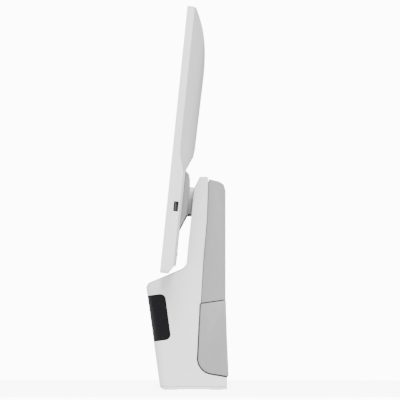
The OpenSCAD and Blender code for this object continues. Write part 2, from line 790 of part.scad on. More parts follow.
socket_y0 = socket_board_y + pcb_t;
module socket_block(i, mouth_w, mouth_h) {
    translate([socket_x[i], 0, socket_z]) difference() {
        translate([-socket_w[i] / 2, socket_y0, -socket_h[i] / 2])
            cube([socket_w[i], 20.5 - socket_y0, socket_h[i]]);
        translate([-mouth_w / 2, socket_y0 + 2, -mouth_h / 2]) cube([mouth_w, 20, mouth_h]);
    }
}

module power_socket() color("#2b2c2e") socket_block(0, 11.4, 6.6);
module video_socket() color(steel) socket_block(1, 14.4, 5);
module data_socket() color(steel) socket_block(2, 12.4, 11.6);

door_pivot = [rear_y - 3, 113.5];
door_pin_r = 1.25;
door_pin_clear = 0.05;
door_turn_r = 4.2;
lug_r = 2;
lug_x1 = stand_w / 2 - wall - 0.4;
lug_x0 = lug_x1 - 5;
module rear_door() color(light_grey) difference() {
    intersection() {
        stand_core();
        across(stand_w) polygon(door_profile);
    }
    stand_core(wall);
    // behind and above the pin the corner follows the swing
    difference() {
        translate([-stand_w, door_pivot[0], door_pivot[1]]) cube([2 * stand_w, 10, 10]);
        translate([0, door_pivot[0], door_pivot[1]]) rod_x(door_turn_r, -stand_w - 1, stand_w + 1);
    }
    for (side = [-1, 1]) {
        x0 = side > 0 ? lug_x0 - 0.4 : -lug_x1 - 0.4;
        translate([0, door_pivot[0], door_pivot[1]]) rod_x(4.6, x0, x0 + lug_x1 - lug_x0 + 0.8);
        x1 = side > 0 ? lug_x0 : -stand_w / 2 + 1.2;
        translate([0, door_pivot[0], door_pivot[1]])
            rod_x(door_pin_r + door_pin_clear, x1, x1 + stand_w / 2 - 1.2 - lug_x0);
    }
}

module door_pins() color(steel) translate([0, door_pivot[0], door_pivot[1]])
    for (side = [-1, 1]) {
        x0 = side > 0 ? lug_x0 : -stand_w / 2 + 1.4;
        rod_x(door_pin_r, x0, x0 + stand_w / 2 - 1.4 - lug_x0);
    }

front_bezel();
back_cover();
lcd_glass();
light_guide();
led_strip();
panel_tray();
display_board();
board_chips();
heat_spreader();
speakers();
usb_socket();
usb_tongue();
key_board();
key_switches();
hinge_plate();
hinge_shroud();
shroud_trim();
neck();
neck_screws();
cover_screws();
power_button();
mode_button();
zoom_out_button();
zoom_in_button();
freeze_button();
front_shell();
upper_cover();
camera_window();
bay_tub();
base_plate();
feet();
base_screws();
ballast_blocks();
spine();
spine_screws();
tilt_pin();
pin_nuts();
friction_washers();
camera_housing();
lens_barrel();
front_lens();
sensor_board();
camera_bracket();
lamp_trays();
lamp_boards();
lamp_leds();
lamp_diffusers();
socket_board();
power_socket();
video_socket();
data_socket();
rear_door();
door_pins();
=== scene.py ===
import json
import math

import bpy
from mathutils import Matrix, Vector


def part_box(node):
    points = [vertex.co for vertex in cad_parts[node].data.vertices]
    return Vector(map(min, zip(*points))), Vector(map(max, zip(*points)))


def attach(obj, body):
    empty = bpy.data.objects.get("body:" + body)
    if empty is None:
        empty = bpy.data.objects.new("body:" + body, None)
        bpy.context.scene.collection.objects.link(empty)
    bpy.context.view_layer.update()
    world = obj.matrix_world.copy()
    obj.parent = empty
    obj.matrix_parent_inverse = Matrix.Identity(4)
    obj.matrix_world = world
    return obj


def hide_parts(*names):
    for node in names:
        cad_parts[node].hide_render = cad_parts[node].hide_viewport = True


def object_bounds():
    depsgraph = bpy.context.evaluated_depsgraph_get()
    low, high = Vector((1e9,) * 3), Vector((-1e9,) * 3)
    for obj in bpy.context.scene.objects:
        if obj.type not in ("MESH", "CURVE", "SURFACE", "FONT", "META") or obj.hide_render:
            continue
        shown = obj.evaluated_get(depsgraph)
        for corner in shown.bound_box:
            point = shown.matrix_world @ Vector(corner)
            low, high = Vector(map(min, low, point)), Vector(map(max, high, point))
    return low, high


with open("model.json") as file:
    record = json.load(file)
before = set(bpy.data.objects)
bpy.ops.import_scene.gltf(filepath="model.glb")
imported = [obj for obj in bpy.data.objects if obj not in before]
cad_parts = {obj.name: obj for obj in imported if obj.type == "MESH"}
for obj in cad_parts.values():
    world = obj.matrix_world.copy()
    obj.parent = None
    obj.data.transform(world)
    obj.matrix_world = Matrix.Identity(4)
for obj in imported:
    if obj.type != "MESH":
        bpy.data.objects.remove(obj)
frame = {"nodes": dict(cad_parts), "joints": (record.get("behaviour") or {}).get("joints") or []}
cad_low, cad_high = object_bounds()
bpy.ops.object.select_all(action="DESELECT")


# --- Camera and studio ------------------------------------------------------
# A very long lens, level, at the display's right-hand edge: depth runs across
# the picture and the screen faces left. A round pale floor, white surroundings
# and three large soft lamps.
picture_width = 0.52
camera_distance = 19.0
camera_height = 0.2485
camera_offset = 0.0165
bpy.ops.object.camera_add(
    location=(cad_high.x + camera_distance, camera_offset, camera_height),
    rotation=(math.radians(90), 0, math.radians(90)),
)
camera = bpy.context.object
camera.name = "studio_camera"
camera.data.lens = camera.data.sensor_width * camera_distance / picture_width
camera.data.clip_end = 150
bpy.context.scene.camera = camera

world = bpy.data.worlds.new("studio")
bpy.context.scene.world = world
world.use_nodes = True
world_nodes, world_links = world.node_tree.nodes, world.node_tree.links
surroundings = world_nodes["Background"]
surroundings.inputs["Color"].default_value = (1, 1, 1, 1)
surroundings.inputs["Strength"].default_value = 1.2
backdrop = world_nodes.new("ShaderNodeBackground")
backdrop.inputs["Color"].default_value = (1, 1, 1, 1)
backdrop.inputs["Strength"].default_value = 12.0
ray = world_nodes.new("ShaderNodeLightPath")
either = world_nodes.new("ShaderNodeMixShader")
world_links.new(ray.outputs["Is Camera Ray"], either.inputs["Fac"])
world_links.new(surroundings.outputs["Background"], either.inputs[1])
world_links.new(backdrop.outputs["Background"], either.inputs[2])
world_links.new(either.outputs["Shader"], world_nodes["World Output"].inputs["Surface"])


def soft_lamp(name, place, aim, size, watts):
    bpy.ops.object.light_add(type="AREA", location=place)
    lamp = bpy.context.object
    lamp.name = name
    lamp.data.shape = "DISK"
    lamp.data.size = size
    lamp.data.energy = watts
    lamp.rotation_euler = (Vector(aim) - Vector(place)).to_track_quat("-Z", "Y").to_euler()


middle = (0, 0, cad_high.z / 2)
soft_lamp("key_lamp", (4.8, 0.3, 2.6), middle, 2.2, 400)
soft_lamp("fill_lamp", (-2.0, -1.9, 1.3), middle, 2.0, 34)
soft_lamp("back_lamp", (-1.6, 2.6, 1.7), middle, 1.8, 12)

# The floor looks as bright as the surroundings from afar, and still takes a soft shadow
floor_radius = 0.9
bpy.ops.mesh.primitive_circle_add(
    vertices=128, radius=floor_radius, fill_type="NGON", location=(0, 0, cad_low.z))
floor = bpy.context.object
floor.name = "floor"
bpy.ops.object.transform_apply(location=True, rotation=True, scale=True)
floor_finish = bpy.data.materials.new("pale_floor")
floor_finish.use_nodes = True
floor_tree = floor_finish.node_tree
floor_skin = floor_tree.nodes["Principled BSDF"]
floor_skin.inputs["Base Color"].default_value = (0.93, 0.93, 0.93, 1)
floor_skin.inputs["Roughness"].default_value = 0.75
floor_skin.inputs["Emission Color"].default_value = (1, 1, 1, 1)
floor_glow = floor_tree.nodes.new("ShaderNodeMath")
floor_glow.operation = "MULTIPLY"
floor_glow.inputs[1].default_value = 7.0
camera_rays = floor_tree.nodes.new("ShaderNodeLightPath")
floor_tree.links.new(camera_rays.outputs["Is Camera Ray"], floor_glow.inputs[0])
floor_tree.links.new(floor_glow.outputs["Value"], floor_skin.inputs["Emission Strength"])
# From below it can be looked through
floor_mix = floor_tree.nodes.new("ShaderNodeMixShader")
floor_side = floor_tree.nodes.new("ShaderNodeNewGeometry")
floor_tree.links.new(floor_side.outputs["Backfacing"], floor_mix.inputs["Fac"])
floor_tree.links.new(floor_skin.outputs["BSDF"], floor_mix.inputs[1])
see_through = floor_tree.nodes.new("ShaderNodeBsdfTransparent")
floor_tree.links.new(see_through.outputs["BSDF"], floor_mix.inputs[2])
floor_tree.links.new(floor_mix.outputs["Shader"], floor_tree.nodes["Material Output"].inputs["Surface"])
floor.data.materials.append(floor_finish)


# --- Base plate -------------------------------------------------------------
# A steel plate that closes the underside, powder-coated to match the shell
# and held by screws from below. Its paint, like the mouldings, has a fine
# even grain, and a little dust settles on whatever faces up.
def shader_group(name, inputs, outputs):
    tree = bpy.data.node_groups.new(name, "ShaderNodeTree")
    for label, kind, value in inputs:
        socket = tree.interface.new_socket(label, in_out="INPUT", socket_type=kind)
        if value is not None:
            socket.default_value = value
    for label, kind in outputs:
        tree.interface.new_socket(label, in_out="OUTPUT", socket_type=kind)
    return tree, tree.nodes.new("NodeGroupInput"), tree.nodes.new("NodeGroupOutput")


def noise_node(tree, vector, scale, detail):
    noise = tree.nodes.new("ShaderNodeTexNoise")
    tree.links.new(vector, noise.inputs["Vector"])
    if isinstance(scale, (int, float)):
        noise.inputs["Scale"].default_value = scale
    else:
        tree.links.new(scale, noise.inputs["Scale"])
    noise.inputs["Detail"].default_value = detail
    return noise.outputs["Fac"]


# Grain: the pebbled height of a texture-etched mould, and two slow mottles
grain, grain_in, grain_out = shader_group(
    "moulded_grain",
    [("Vector", "NodeSocketVector", None), ("Grain Scale", "NodeSocketFloat", 1500.0),
     ("Mottle Scale", "NodeSocketFloat", 14.0)],
    [("Height", "NodeSocketFloat"), ("Tone", "NodeSocketFloat"), ("Sheen", "NodeSocketFloat")])
grain.links.new(noise_node(grain, grain_in.outputs["Vector"], grain_in.outputs["Grain Scale"], 2.0),
                grain_out.inputs["Height"])
grain.links.new(noise_node(grain, grain_in.outputs["Vector"], grain_in.outputs["Mottle Scale"], 4.0),
                grain_out.inputs["Tone"])
grain.links.new(noise_node(grain, grain_in.outputs["Vector"], 90.0, 3.0), grain_out.inputs["Sheen"])

# Dust: patchy, and only where the surface faces up
dust, dust_in, dust_out = shader_group(
    "settled_dust",
    [("Vector", "NodeSocketVector", None), ("Amount", "NodeSocketFloat", 0.2)],
    [("Mask", "NodeSocketFloat")])
facing = dust.nodes.new("ShaderNodeNewGeometry")
upward = dust.nodes.new("ShaderNodeSeparateXYZ")
dust.links.new(facing.outputs["Normal"], upward.inputs["Vector"])
level = dust.nodes.new("ShaderNodeMapRange")
level.inputs["From Min"].default_value = 0.35
level.inputs["From Max"].default_value = 1.0
dust.links.new(upward.outputs["Z"], level.inputs["Value"])
patches = dust.nodes.new("ShaderNodeMath")
patches.operation = "MULTIPLY"
dust.links.new(level.outputs["Result"], patches.inputs[0])
dust.links.new(noise_node(dust, dust_in.outputs["Vector"], 60.0, 5.0), patches.inputs[1])
share = dust.nodes.new("ShaderNodeMath")
share.operation = "MULTIPLY"
dust.links.new(patches.outputs["Value"], share.inputs[0])
dust.links.new(dust_in.outputs["Amount"], share.inputs[1])
dust.links.new(share.outputs["Value"], dust_out.inputs["Mask"])


def blank_finish(name):
    finish = bpy.data.materials.new(name)
    finish.use_nodes = True
    tree = finish.node_tree
    place = tree.nodes.new("ShaderNodeTexCoord").outputs["Object"]
    return finish, tree, tree.nodes["Principled BSDF"], place


def placed_group(tree, group, place, **values):
    node = tree.nodes.new("ShaderNodeGroup")
    node.node_tree = group
    tree.links.new(place, node.inputs["Vector"])
    for label, value in values.items():
        node.inputs[label.replace("_", " ")].default_value = value
    return node


def mixed_colour(tree, mask, first, second):
    mix = tree.nodes.new("ShaderNodeMix")
    mix.data_type = "RGBA"
    tree.links.new(mask, mix.inputs["Factor"])
    for socket, colour in ((mix.inputs[6], first), (mix.inputs[7], second)):
        if isinstance(colour, tuple):
            socket.default_value = (*colour, 1)
        else:
            tree.links.new(colour, socket)
    return mix.outputs[2]


def spread(tree, value, low, high):
    steps = tree.nodes.new("ShaderNodeMapRange")
    tree.links.new(value, steps.inputs["Value"])
    steps.inputs["From Min"].default_value = 0.3
    steps.inputs["From Max"].default_value = 0.7
    steps.inputs["To Min"].default_value = low
    steps.inputs["To Max"].default_value = high
    return steps.outputs["Result"]


def raised(tree, skin, height, depth, strength=0.5):
    bump = tree.nodes.new("ShaderNodeBump")
    bump.inputs["Distance"].default_value = depth
    bump.inputs["Strength"].default_value = strength
    tree.links.new(height, bump.inputs["Height"])
    tree.links.new(bump.outputs["Normal"], skin.inputs["Normal"])


def moulded(name, colour, rough, grain_scale=1500.0, depth=0.00008, dusty=0.25, tone=0.94):
    finish, tree, skin, place = blank_finish(name)
    skin_grain = placed_group(tree, grain, place, Grain_Scale=grain_scale)
    darker = tuple(channel * tone for channel in colour)
    paint = mixed_colour(tree, spread(tree, skin_grain.outputs["Tone"], 0, 1), colour, darker)
    film = placed_group(tree, dust, place, Amount=dusty)
    tree.links.new(mixed_colour(tree, film.outputs["Mask"], paint, (0.56, 0.55, 0.53)),
                   skin.inputs["Base Color"])
    tree.links.new(spread(tree, skin_grain.outputs["Sheen"], rough - 0.05, rough + 0.05),
                   skin.inputs["Roughness"])
    raised(tree, skin, skin_grain.outputs["Height"], depth)
    return finish


def dressed(node, finish):
    part = frame["nodes"][node]
    part.data.materials.clear()
    part.data.materials.append(finish)


# How near to another node an edge counts as beside it
beside_gap = 0.0015


def rounded_copy(node, body, finish, edge, segments=3, smooth=32, merged_faces=True, rim=None,
                 crisp=()):
    """The node's own solid as one clean mesh with its moulded corners rounded.

    rim rounds only the corners that near the node's outer limits, and crisp names the nodes beside which
    none are rounded.
    """
    name = node + "_moulding"
    mesh = frame["nodes"][node].data.copy()
    mesh.name = name
    mesh.materials.clear()
    mesh.materials.append(finish)
    piece = bpy.data.objects.new(name, mesh)
    bpy.context.scene.collection.objects.link(piece)
    bpy.ops.object.select_all(action="DESELECT")
    bpy.context.view_layer.objects.active = piece
    piece.select_set(True)
    bpy.ops.object.mode_set(mode="EDIT")
    bpy.ops.mesh.select_all(action="SELECT")
    bpy.ops.mesh.customdata_custom_splitnormals_clear()
    bpy.ops.mesh.remove_doubles(threshold=0.000005)
    if merged_faces:
        bpy.ops.mesh.dissolve_limited(angle_limit=math.radians(0.6))
    bpy.ops.mesh.select_all(action="SELECT")
    bpy.ops.mesh.faces_shade_smooth()
    bpy.ops.mesh.select_all(action="DESELECT")
    bpy.ops.mesh.select_mode(type="EDGE")
    bpy.ops.mesh.edges_select_sharp(sharpness=math.radians(smooth))
    bpy.ops.object.mode_set(mode="OBJECT")
    bevel = piece.modifiers.new("rounded_corners", "BEVEL")
    bevel.width = edge
    bevel.segments = segments
    bevel.limit_method = "ANGLE"
    bevel.angle_limit = math.radians(smooth)
    if rim or crisp:
        low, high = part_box(node)
        weights = mesh.attributes.new("bevel_weight_edge", "FLOAT", "EDGE")
        for side in mesh.edges:
            spot = (mesh.vertices[side.vertices[0]].co + mesh.vertices[side.vertices[1]].co) / 2
            outer = not rim or abs(spot.x) > high.x - rim or spot.z > high.z - rim or spot.z < low.z + rim
            beside = any(all(near_low[i] - beside_gap < spot[i] < near_high[i] + beside_gap for i in range(3))
                         for near_low, near_high in map(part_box, crisp))
            weights.data[side.index].value = float(side.select and outer and not beside)
        bevel.limit_method = "WEIGHT"
    bevel.use_clamp_overlap = False
    bevel.miter_outer = "MITER_ARC"
    bevel.loop_slide = False
    bpy.ops.object.modifier_apply(modifier=bevel.name)
    bpy.ops.object.shade_smooth_by_angle(angle=math.radians(smooth))
    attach(piece, body)
    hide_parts(node)
    return piece


white = (0.85, 0.85, 0.845)
white_plastic = moulded("white_plastic", white, 0.46)
white_paint = moulded("white_paint", white, 0.4, grain_scale=900.0, depth=0.0001)
rounded_copy("base_plate", "stand", white_paint, 0.0004, 2)


# --- Feet -------------------------------------------------------------------
# Four moulded rubber discs pressed into round pockets of the base plate, each
# with a groove round its underside so that it grips the table.
rubber, rubber_tree, rubber_skin, rubber_place = blank_finish("rubber")
rubber_grain = placed_group(rubber_tree, grain, rubber_place, Grain_Scale=2200.0)
rubber_tree.links.new(
    mixed_colour(rubber_tree, spread(rubber_tree, rubber_grain.outputs["Tone"], 0, 1),
                 (0.022, 0.022, 0.022), (0.042, 0.041, 0.04)),
    rubber_skin.inputs["Base Color"])
rubber_tree.links.new(spread(rubber_tree, rubber_grain.outputs["Sheen"], 0.72, 0.88),
                      rubber_skin.inputs["Roughness"])
raised(rubber_tree, rubber_skin, rubber_grain.outputs["Height"], 0.00012)


def disc(name, radius, depth, vertices=48):
    """A cylinder whose top face is at z = 0, alone in the selection and in edit mode, nothing selected."""
    bpy.ops.object.select_all(action="DESELECT")
    bpy.ops.mesh.primitive_cylinder_add(
        vertices=vertices, radius=radius, depth=depth, location=(0, 0, -depth / 2))
    bpy.ops.object.transform_apply(location=True, rotation=True, scale=True)
    piece = bpy.context.object
    piece.name = name
    bpy.ops.object.mode_set(mode="EDIT")
    bpy.ops.mesh.select_mode(type="FACE")
    bpy.ops.mesh.select_all(action="DESELECT")
    return piece


def pick_end(piece, up):
    """Selects the end face of the piece that looks up, or down."""
    bpy.ops.object.mode_set(mode="OBJECT")
    ends = [face for face in piece.data.polygons if (face.normal.z if up else -face.normal.z) > 0.9]
    reach = max(face.center.z if up else -face.center.z for face in ends)
    for face in piece.data.polygons:
        face.select = face in ends and (face.center.z if up else -face.center.z) > reach - 1e-6
    bpy.ops.object.mode_set(mode="EDIT")
    bpy.ops.mesh.select_mode(type="FACE")


def step_in(inset, rise):
    """Insets the selected face, then moves the inner face along z."""
    bpy.ops.mesh.inset(thickness=inset)
    if rise:
        bpy.ops.transform.translate(value=(0, 0, rise))


def finished(piece, edge=0.0, angle=35):
    """Leaves edit mode with outward faces, softened edges and smooth rounds."""
    bpy.ops.object.mode_set(mode="EDIT")
    bpy.ops.mesh.select_all(action="SELECT")
    bpy.ops.mesh.normals_make_consistent(inside=False)
    bpy.ops.object.mode_set(mode="OBJECT")
    if edge:
        softened = piece.modifiers.new("soft_edges", "BEVEL")
        softened.width = edge
        softened.segments = 3
        softened.limit_method = "ANGLE"
        softened.angle_limit = math.radians(angle)
        bpy.ops.object.modifier_apply(modifier=softened.name)
    bpy.ops.object.shade_smooth_by_angle(angle=math.radians(angle))


def set_down(piece, place, turn=0.0):
    """Turns the piece about X and moves it to its place, all of it in the mesh."""
    bpy.ops.object.select_all(action="DESELECT")
    bpy.context.view_layer.objects.active = piece
    piece.select_set(True)
    piece.rotation_euler.x = turn
    piece.location = place
    bpy.ops.object.transform_apply(location=True, rotation=True, scale=True)
    return piece


def copied(piece, places, name, turn=0.0):
    """One piece made of copies of this one at each place."""
    copies = []
    for place in places:
        twin = piece.copy()
        twin.data = piece.data.copy()
        bpy.context.scene.collection.objects.link(twin)
        copies.append(set_down(twin, place, turn))
    bpy.data.objects.remove(piece)
    return joined(copies, name)


def joined(pieces, name):
    bpy.ops.object.select_all(action="DESELECT")
    for piece in pieces:
        piece.select_set(True)
    bpy.context.view_layer.objects.active = pieces[0]
    bpy.ops.object.join()
    pieces[0].name = name
    return pieces[0]


feet_low, feet_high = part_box("feet")
foot_radius = 0.009
foot = disc("foot", foot_radius, feet_high.z - feet_low.z, vertices=64)
pick_end(foot, up=True)
step_in(0.0018, 0)
step_in(0.0004, -0.0005)
step_in(0.0012, 0)
step_in(0.0004, 0.0005)
step_in(0.0020, -0.0003)
finished(foot, 0.00025)
foot.data.materials.append(rubber)
feet = copied(foot, [(x, y, feet_low.z) for x in (feet_low.x + foot_radius, feet_high.x - foot_radius)
                     for y in (feet_low.y + foot_radius, feet_high.y - foot_radius)],
              "feet_rubber", math.radians(180))
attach(feet, "stand")
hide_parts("feet")


# --- Base screws --------------------------------------------------------------
# Four turned and plated steel screws through the base plate, each with a
# hexagon socket in its end. They hold the spine and the nuts above it.
def metal(name, colour, rough, grain_scale=500.0, stretch=(1, 1, 1), depth=0.00003, tone=0.82):
    finish, tree, skin, place = blank_finish(name)
    mapping = tree.nodes.new("ShaderNodeMapping")
    mapping.inputs["Scale"].default_value = stretch
    tree.links.new(place, mapping.inputs["Vector"])
    skin_grain = placed_group(
        tree, grain, mapping.outputs["Vector"], Grain_Scale=grain_scale, Mottle_Scale=40.0)
    darker = tuple(channel * tone for channel in colour)
    tree.links.new(mixed_colour(tree, spread(tree, skin_grain.outputs["Tone"], 0, 1), colour, darker),
                   skin.inputs["Base Color"])
    tree.links.new(spread(tree, skin_grain.outputs["Sheen"], rough - 0.07, rough + 0.07),
                   skin.inputs["Roughness"])
    skin.inputs["Metallic"].default_value = 1.0
    raised(tree, skin, skin_grain.outputs["Height"], depth)
    return finish


bright_steel = metal("bright_steel", (0.6, 0.6, 0.61), 0.3)
for node in ("spine_screws", "pin_nuts", "tilt_pin", "neck_screws", "door_pins", "video_socket",
             "data_socket"):
    dressed(node, bright_steel)
dressed("usb_socket", metal("blackened_steel", (0.06, 0.06, 0.062), 0.45))


def recessed_screw(name, radius, depth, socket, sides):
    """A screw end with its head face at z = 0 and a socket with that many sides."""
    screw = disc(name, radius, depth)
    finished(screw, radius * 0.12)
    cutter = disc("cutter", socket, depth * 0.8, vertices=sides)
    bpy.ops.mesh.select_all(action="SELECT")
    bpy.ops.transform.translate(value=(0, 0, depth * 0.2))
    bpy.ops.object.mode_set(mode="OBJECT")
    bpy.context.view_layer.objects.active = screw
    cut = screw.modifiers.new("socket", "BOOLEAN")
    cut.operation = "DIFFERENCE"
    cut.object = cutter
    bpy.ops.object.modifier_apply(modifier=cut.name)
    bpy.data.objects.remove(cutter)
    screw.data.materials.append(bright_steel)
    return screw


screws_low, screws_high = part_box("base_screws")
screw_radius = 0.002
base_screw = recessed_screw("base_screw", screw_radius, screws_high.z - screws_low.z, 0.0012, 6)
base_screws = copied(
    base_screw, [(x, y, screws_low.z) for x in (screws_low.x + screw_radius, screws_high.x - screw_radius)
                 for y in (screws_low.y + screw_radius, screws_high.y - screw_radius)],
    "base_screws_turned", math.radians(180))
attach(base_screws, "stand")
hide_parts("base_screws")


# --- Ballast ----------------------------------------------------------------
# Two cast-iron blocks that keep the tall display from tipping, painted black
# over a rough sand-cast skin.
iron, iron_tree, iron_skin, iron_place = blank_finish("ballast_iron")
iron_grain = placed_group(iron_tree, grain, iron_place, Grain_Scale=700.0, Mottle_Scale=60.0)
iron_tree.links.new(
    mixed_colour(iron_tree, spread(iron_tree, iron_grain.outputs["Tone"], 0, 1),
                 (0.07, 0.07, 0.075), (0.13, 0.12, 0.115)),
    iron_skin.inputs["Base Color"])
iron_tree.links.new(spread(iron_tree, iron_grain.outputs["Sheen"], 0.5, 0.75), iron_skin.inputs["Roughness"])
iron_skin.inputs["Metallic"].default_value = 0.5
raised(iron_tree, iron_skin, iron_grain.outputs["Height"], 0.0005, 0.8)
rounded_copy("ballast_blocks", "stand", iron, 0.0015, 3)


# --- Spine and other sheet metal ----------------------------------------------
# Pressed sheet steel under zinc, whose crystals give it a faint spangle: the
# spine that carries the hinge, the camera's bracket, the panel's tray and the
# plate inside the display.
sheet_steel, sheet_tree, sheet_skin, sheet_place = blank_finish("sheet_steel")
crystals = sheet_tree.nodes.new("ShaderNodeTexVoronoi")
crystals.inputs["Scale"].default_value = 160.0
sheet_tree.links.new(sheet_place, crystals.inputs["Vector"])
crystal_tone = sheet_tree.nodes.new("ShaderNodeSeparateColor")
sheet_tree.links.new(crystals.outputs["Color"], crystal_tone.inputs["Color"])
sheet_tree.links.new(
    mixed_colour(sheet_tree, crystal_tone.outputs["Red"], (0.5, 0.51, 0.52), (0.6, 0.61, 0.62)),
    sheet_skin.inputs["Base Color"])
sheet_tree.links.new(spread(sheet_tree, crystal_tone.outputs["Green"], 0.34, 0.46),
                     sheet_skin.inputs["Roughness"])
sheet_skin.inputs["Metallic"].default_value = 1.0
sheet_grain = placed_group(sheet_tree, grain, sheet_place, Grain_Scale=900.0)
raised(sheet_tree, sheet_skin, sheet_grain.outputs["Height"], 0.00003)
rounded_copy("spine", "stand", sheet_steel, 0.0004, 2)
for node in ("camera_bracket", "panel_tray", "hinge_plate"):
    dressed(node, sheet_steel)


# --- Page camera --------------------------------------------------------------
# A black die-cast housing on a bent strip, with a focusing barrel that slides
# in it, a coated front lens and the sensor's board on its back.
dark_plastic = moulded("dark_plastic", (0.026, 0.026, 0.028), 0.5, grain_scale=1200.0, dusty=0.1)
for node in ("speakers", "power_socket", "usb_tongue", "lens_barrel"):
    dressed(node, dark_plastic)
rounded_copy("camera_housing", "stand", dark_plastic, 0.001, 3)

lens_glass, lens_tree, lens_skin, lens_place = blank_finish("lens_glass")
lens_film = placed_group(lens_tree, grain, lens_place, Mottle_Scale=90.0)
lens_tree.links.new(
    mixed_colour(lens_tree, spread(lens_tree, lens_film.outputs["Tone"], 0, 1),
                 (0.012, 0.016, 0.04), (0.03, 0.014, 0.045)),
    lens_skin.inputs["Base Color"])
lens_tree.links.new(spread(lens_tree, lens_film.outputs["Sheen"], 0.02, 0.06), lens_skin.inputs["Roughness"])
lens_skin.inputs["Coat Weight"].default_value = 1.0
dressed("front_lens", lens_glass)


# --- Circuit boards -----------------------------------------------------------
# Glass-epoxy boards under a green mask. Copper tracks show through as paler
# lines, and the tinned holes between them as small bright dots.
board, board_tree, board_skin, board_place = blank_finish("circuit_board")
tracks = board_tree.nodes.new("ShaderNodeTexBrick")
tracks.inputs["Scale"].default_value = 260.0
tracks.inputs["Mortar Size"].default_value = 0.09
tracks.inputs["Color1"].default_value = (0.018, 0.09, 0.045, 1)
tracks.inputs["Color2"].default_value = (0.024, 0.115, 0.055, 1)
tracks.inputs["Mortar"].default_value = (0.05, 0.19, 0.085, 1)
flat_place = board_tree.nodes.new("ShaderNodeMapping")
flat_place.inputs["Rotation"].default_value = (math.radians(90), 0, 0)
board_tree.links.new(board_place, flat_place.inputs["Vector"])
board_tree.links.new(flat_place.outputs["Vector"], tracks.inputs["Vector"])
holes = board_tree.nodes.new("ShaderNodeTexVoronoi")
holes.inputs["Scale"].default_value = 210.0
board_tree.links.new(board_place, holes.inputs["Vector"])
tinned = board_tree.nodes.new("ShaderNodeMath")
tinned.operation = "LESS_THAN"
tinned.inputs[1].default_value = 0.16
board_tree.links.new(holes.outputs["Distance"], tinned.inputs[0])
board_tree.links.new(
    mixed_colour(board_tree, tinned.outputs["Value"], tracks.outputs["Color"], (0.55, 0.54, 0.5)),
    board_skin.inputs["Base Color"])
board_tree.links.new(tinned.outputs["Value"], board_skin.inputs["Metallic"])
board_grain = placed_group(board_tree, grain, board_place, Grain_Scale=500.0)
board_tree.links.new(spread(board_tree, board_grain.outputs["Sheen"], 0.3, 0.42),
                     board_skin.inputs["Roughness"])
raised(board_tree, board_skin, tracks.outputs["Fac"], 0.00003)
for node in ("sensor_board", "socket_board", "display_board", "key_board"):
    dressed(node, board)

epoxy = moulded("chip_epoxy", (0.018, 0.018, 0.02), 0.55, grain_scale=2600.0, dusty=0.0)
rounded_copy("board_chips", "display", epoxy, 0.0003, 2)
dressed("key_switches", epoxy)


# --- Lamps ----------------------------------------------------------------------
# Two white reflector trays beside the camera. Each holds a white board with
# five yellow phosphor chips under a frosted diffuser.
lamp_white = moulded("lamp_white", (0.84, 0.84, 0.82), 0.5, grain_scale=1800.0, dusty=0.0)
rounded_copy("lamp_trays", "stand", lamp_white, 0.0006, 2)
dressed("lamp_boards", lamp_white)
phosphor = moulded("led_yellow", (0.82, 0.66, 0.2), 0.35, grain_scale=3000.0, dusty=0.0, tone=0.85)
for node in ("lamp_leds", "led_strip"):
    dressed(node, phosphor)
frosted = moulded("clear_plastic", (0.84, 0.87, 0.89), 0.3, grain_scale=2600.0, dusty=0.0, tone=0.97)
for node in ("lamp_diffusers", "light_guide"):
    dressed(node, frosted)


# --- Connector bay --------------------------------------------------------------
# A black tub behind the rear door, with the power, video and data sockets of
# the board in front of it standing through its wall. Its near-black edge, seen
# through the door's seams, is painted shade: it makes those gaps read dark.
# Painted shade: the tub's near-black shows in the rear door's seams as their dark shadow line.
rounded_copy("bay_tub", "stand", dark_plastic, 0.0004, 2)


# --- Front shell ------------------------------------------------------------
# The white moulding that makes the column's face, the shelf and the base's
# front and sides. One piece, fixed to the spine from inside.
rounded_copy("front_shell", "stand", white_plastic, 0.0009, 3, merged_faces=False,
             crisp=("camera_window", "rear_door"))


# --- Camera window ----------------------------------------------------------
# Smoked acrylic, polished, bent round the base's front and sides and set
# flush in the shell. The camera and the lamps look out through it.
smoked, smoked_tree, smoked_skin, smoked_place = blank_finish("smoked_window")
smears = placed_group(smoked_tree, grain, smoked_place, Grain_Scale=400.0)
smoked_tree.links.new(
    mixed_colour(smoked_tree, spread(smoked_tree, smears.outputs["Tone"], 0, 1),
                 (0.004, 0.004, 0.005), (0.007, 0.007, 0.008)),
    smoked_skin.inputs["Base Color"])
smoked_tree.links.new(spread(smoked_tree, smears.outputs["Sheen"], 0.06, 0.14),
                      smoked_skin.inputs["Roughness"])
smoked_skin.inputs["Alpha"].default_value = 0.97
smoked_skin.inputs["Specular IOR Level"].default_value = 0.15
rounded_copy("camera_window", "stand", smoked, 0.0005, 2, merged_faces=False,
             crisp=("camera_window",))


# --- Upper cover ------------------------------------------------------------
# The grey moulding that closes the back of the column. It clips to the shell
# and carries the two lugs that the rear door hangs from.
grey = (0.27, 0.27, 0.27)
grey_plastic = moulded("grey_plastic", grey, 0.5)
rounded_copy("upper_cover", "stand", grey_plastic, 0.0007, 3)


# --- Rear door --------------------------------------------------------------
# A grey moulding over the connector bay, hung on two short pins at its top
# edge. Its foot stands proud of the ledge, so a finger can pull it open.
rounded_copy("rear_door", "rear_door", grey_plastic, 0.0007, 3)


# --- Neck and hinge ---------------------------------------------------------
# A die-cast aluminium block, blasted to an even matt skin, that turns on a
# plated steel pin between bronze friction washers.
cast_aluminium = metal("aluminium", (0.5, 0.505, 0.51), 0.48, grain_scale=1300.0, depth=0.0001, tone=0.92)
dressed("heat_spreader", cast_aluminium)
rounded_copy("neck", "display", cast_aluminium, 0.0007, 3)
dressed("friction_washers", metal("washer_brass", (0.5, 0.33, 0.14), 0.38, grain_scale=800.0))


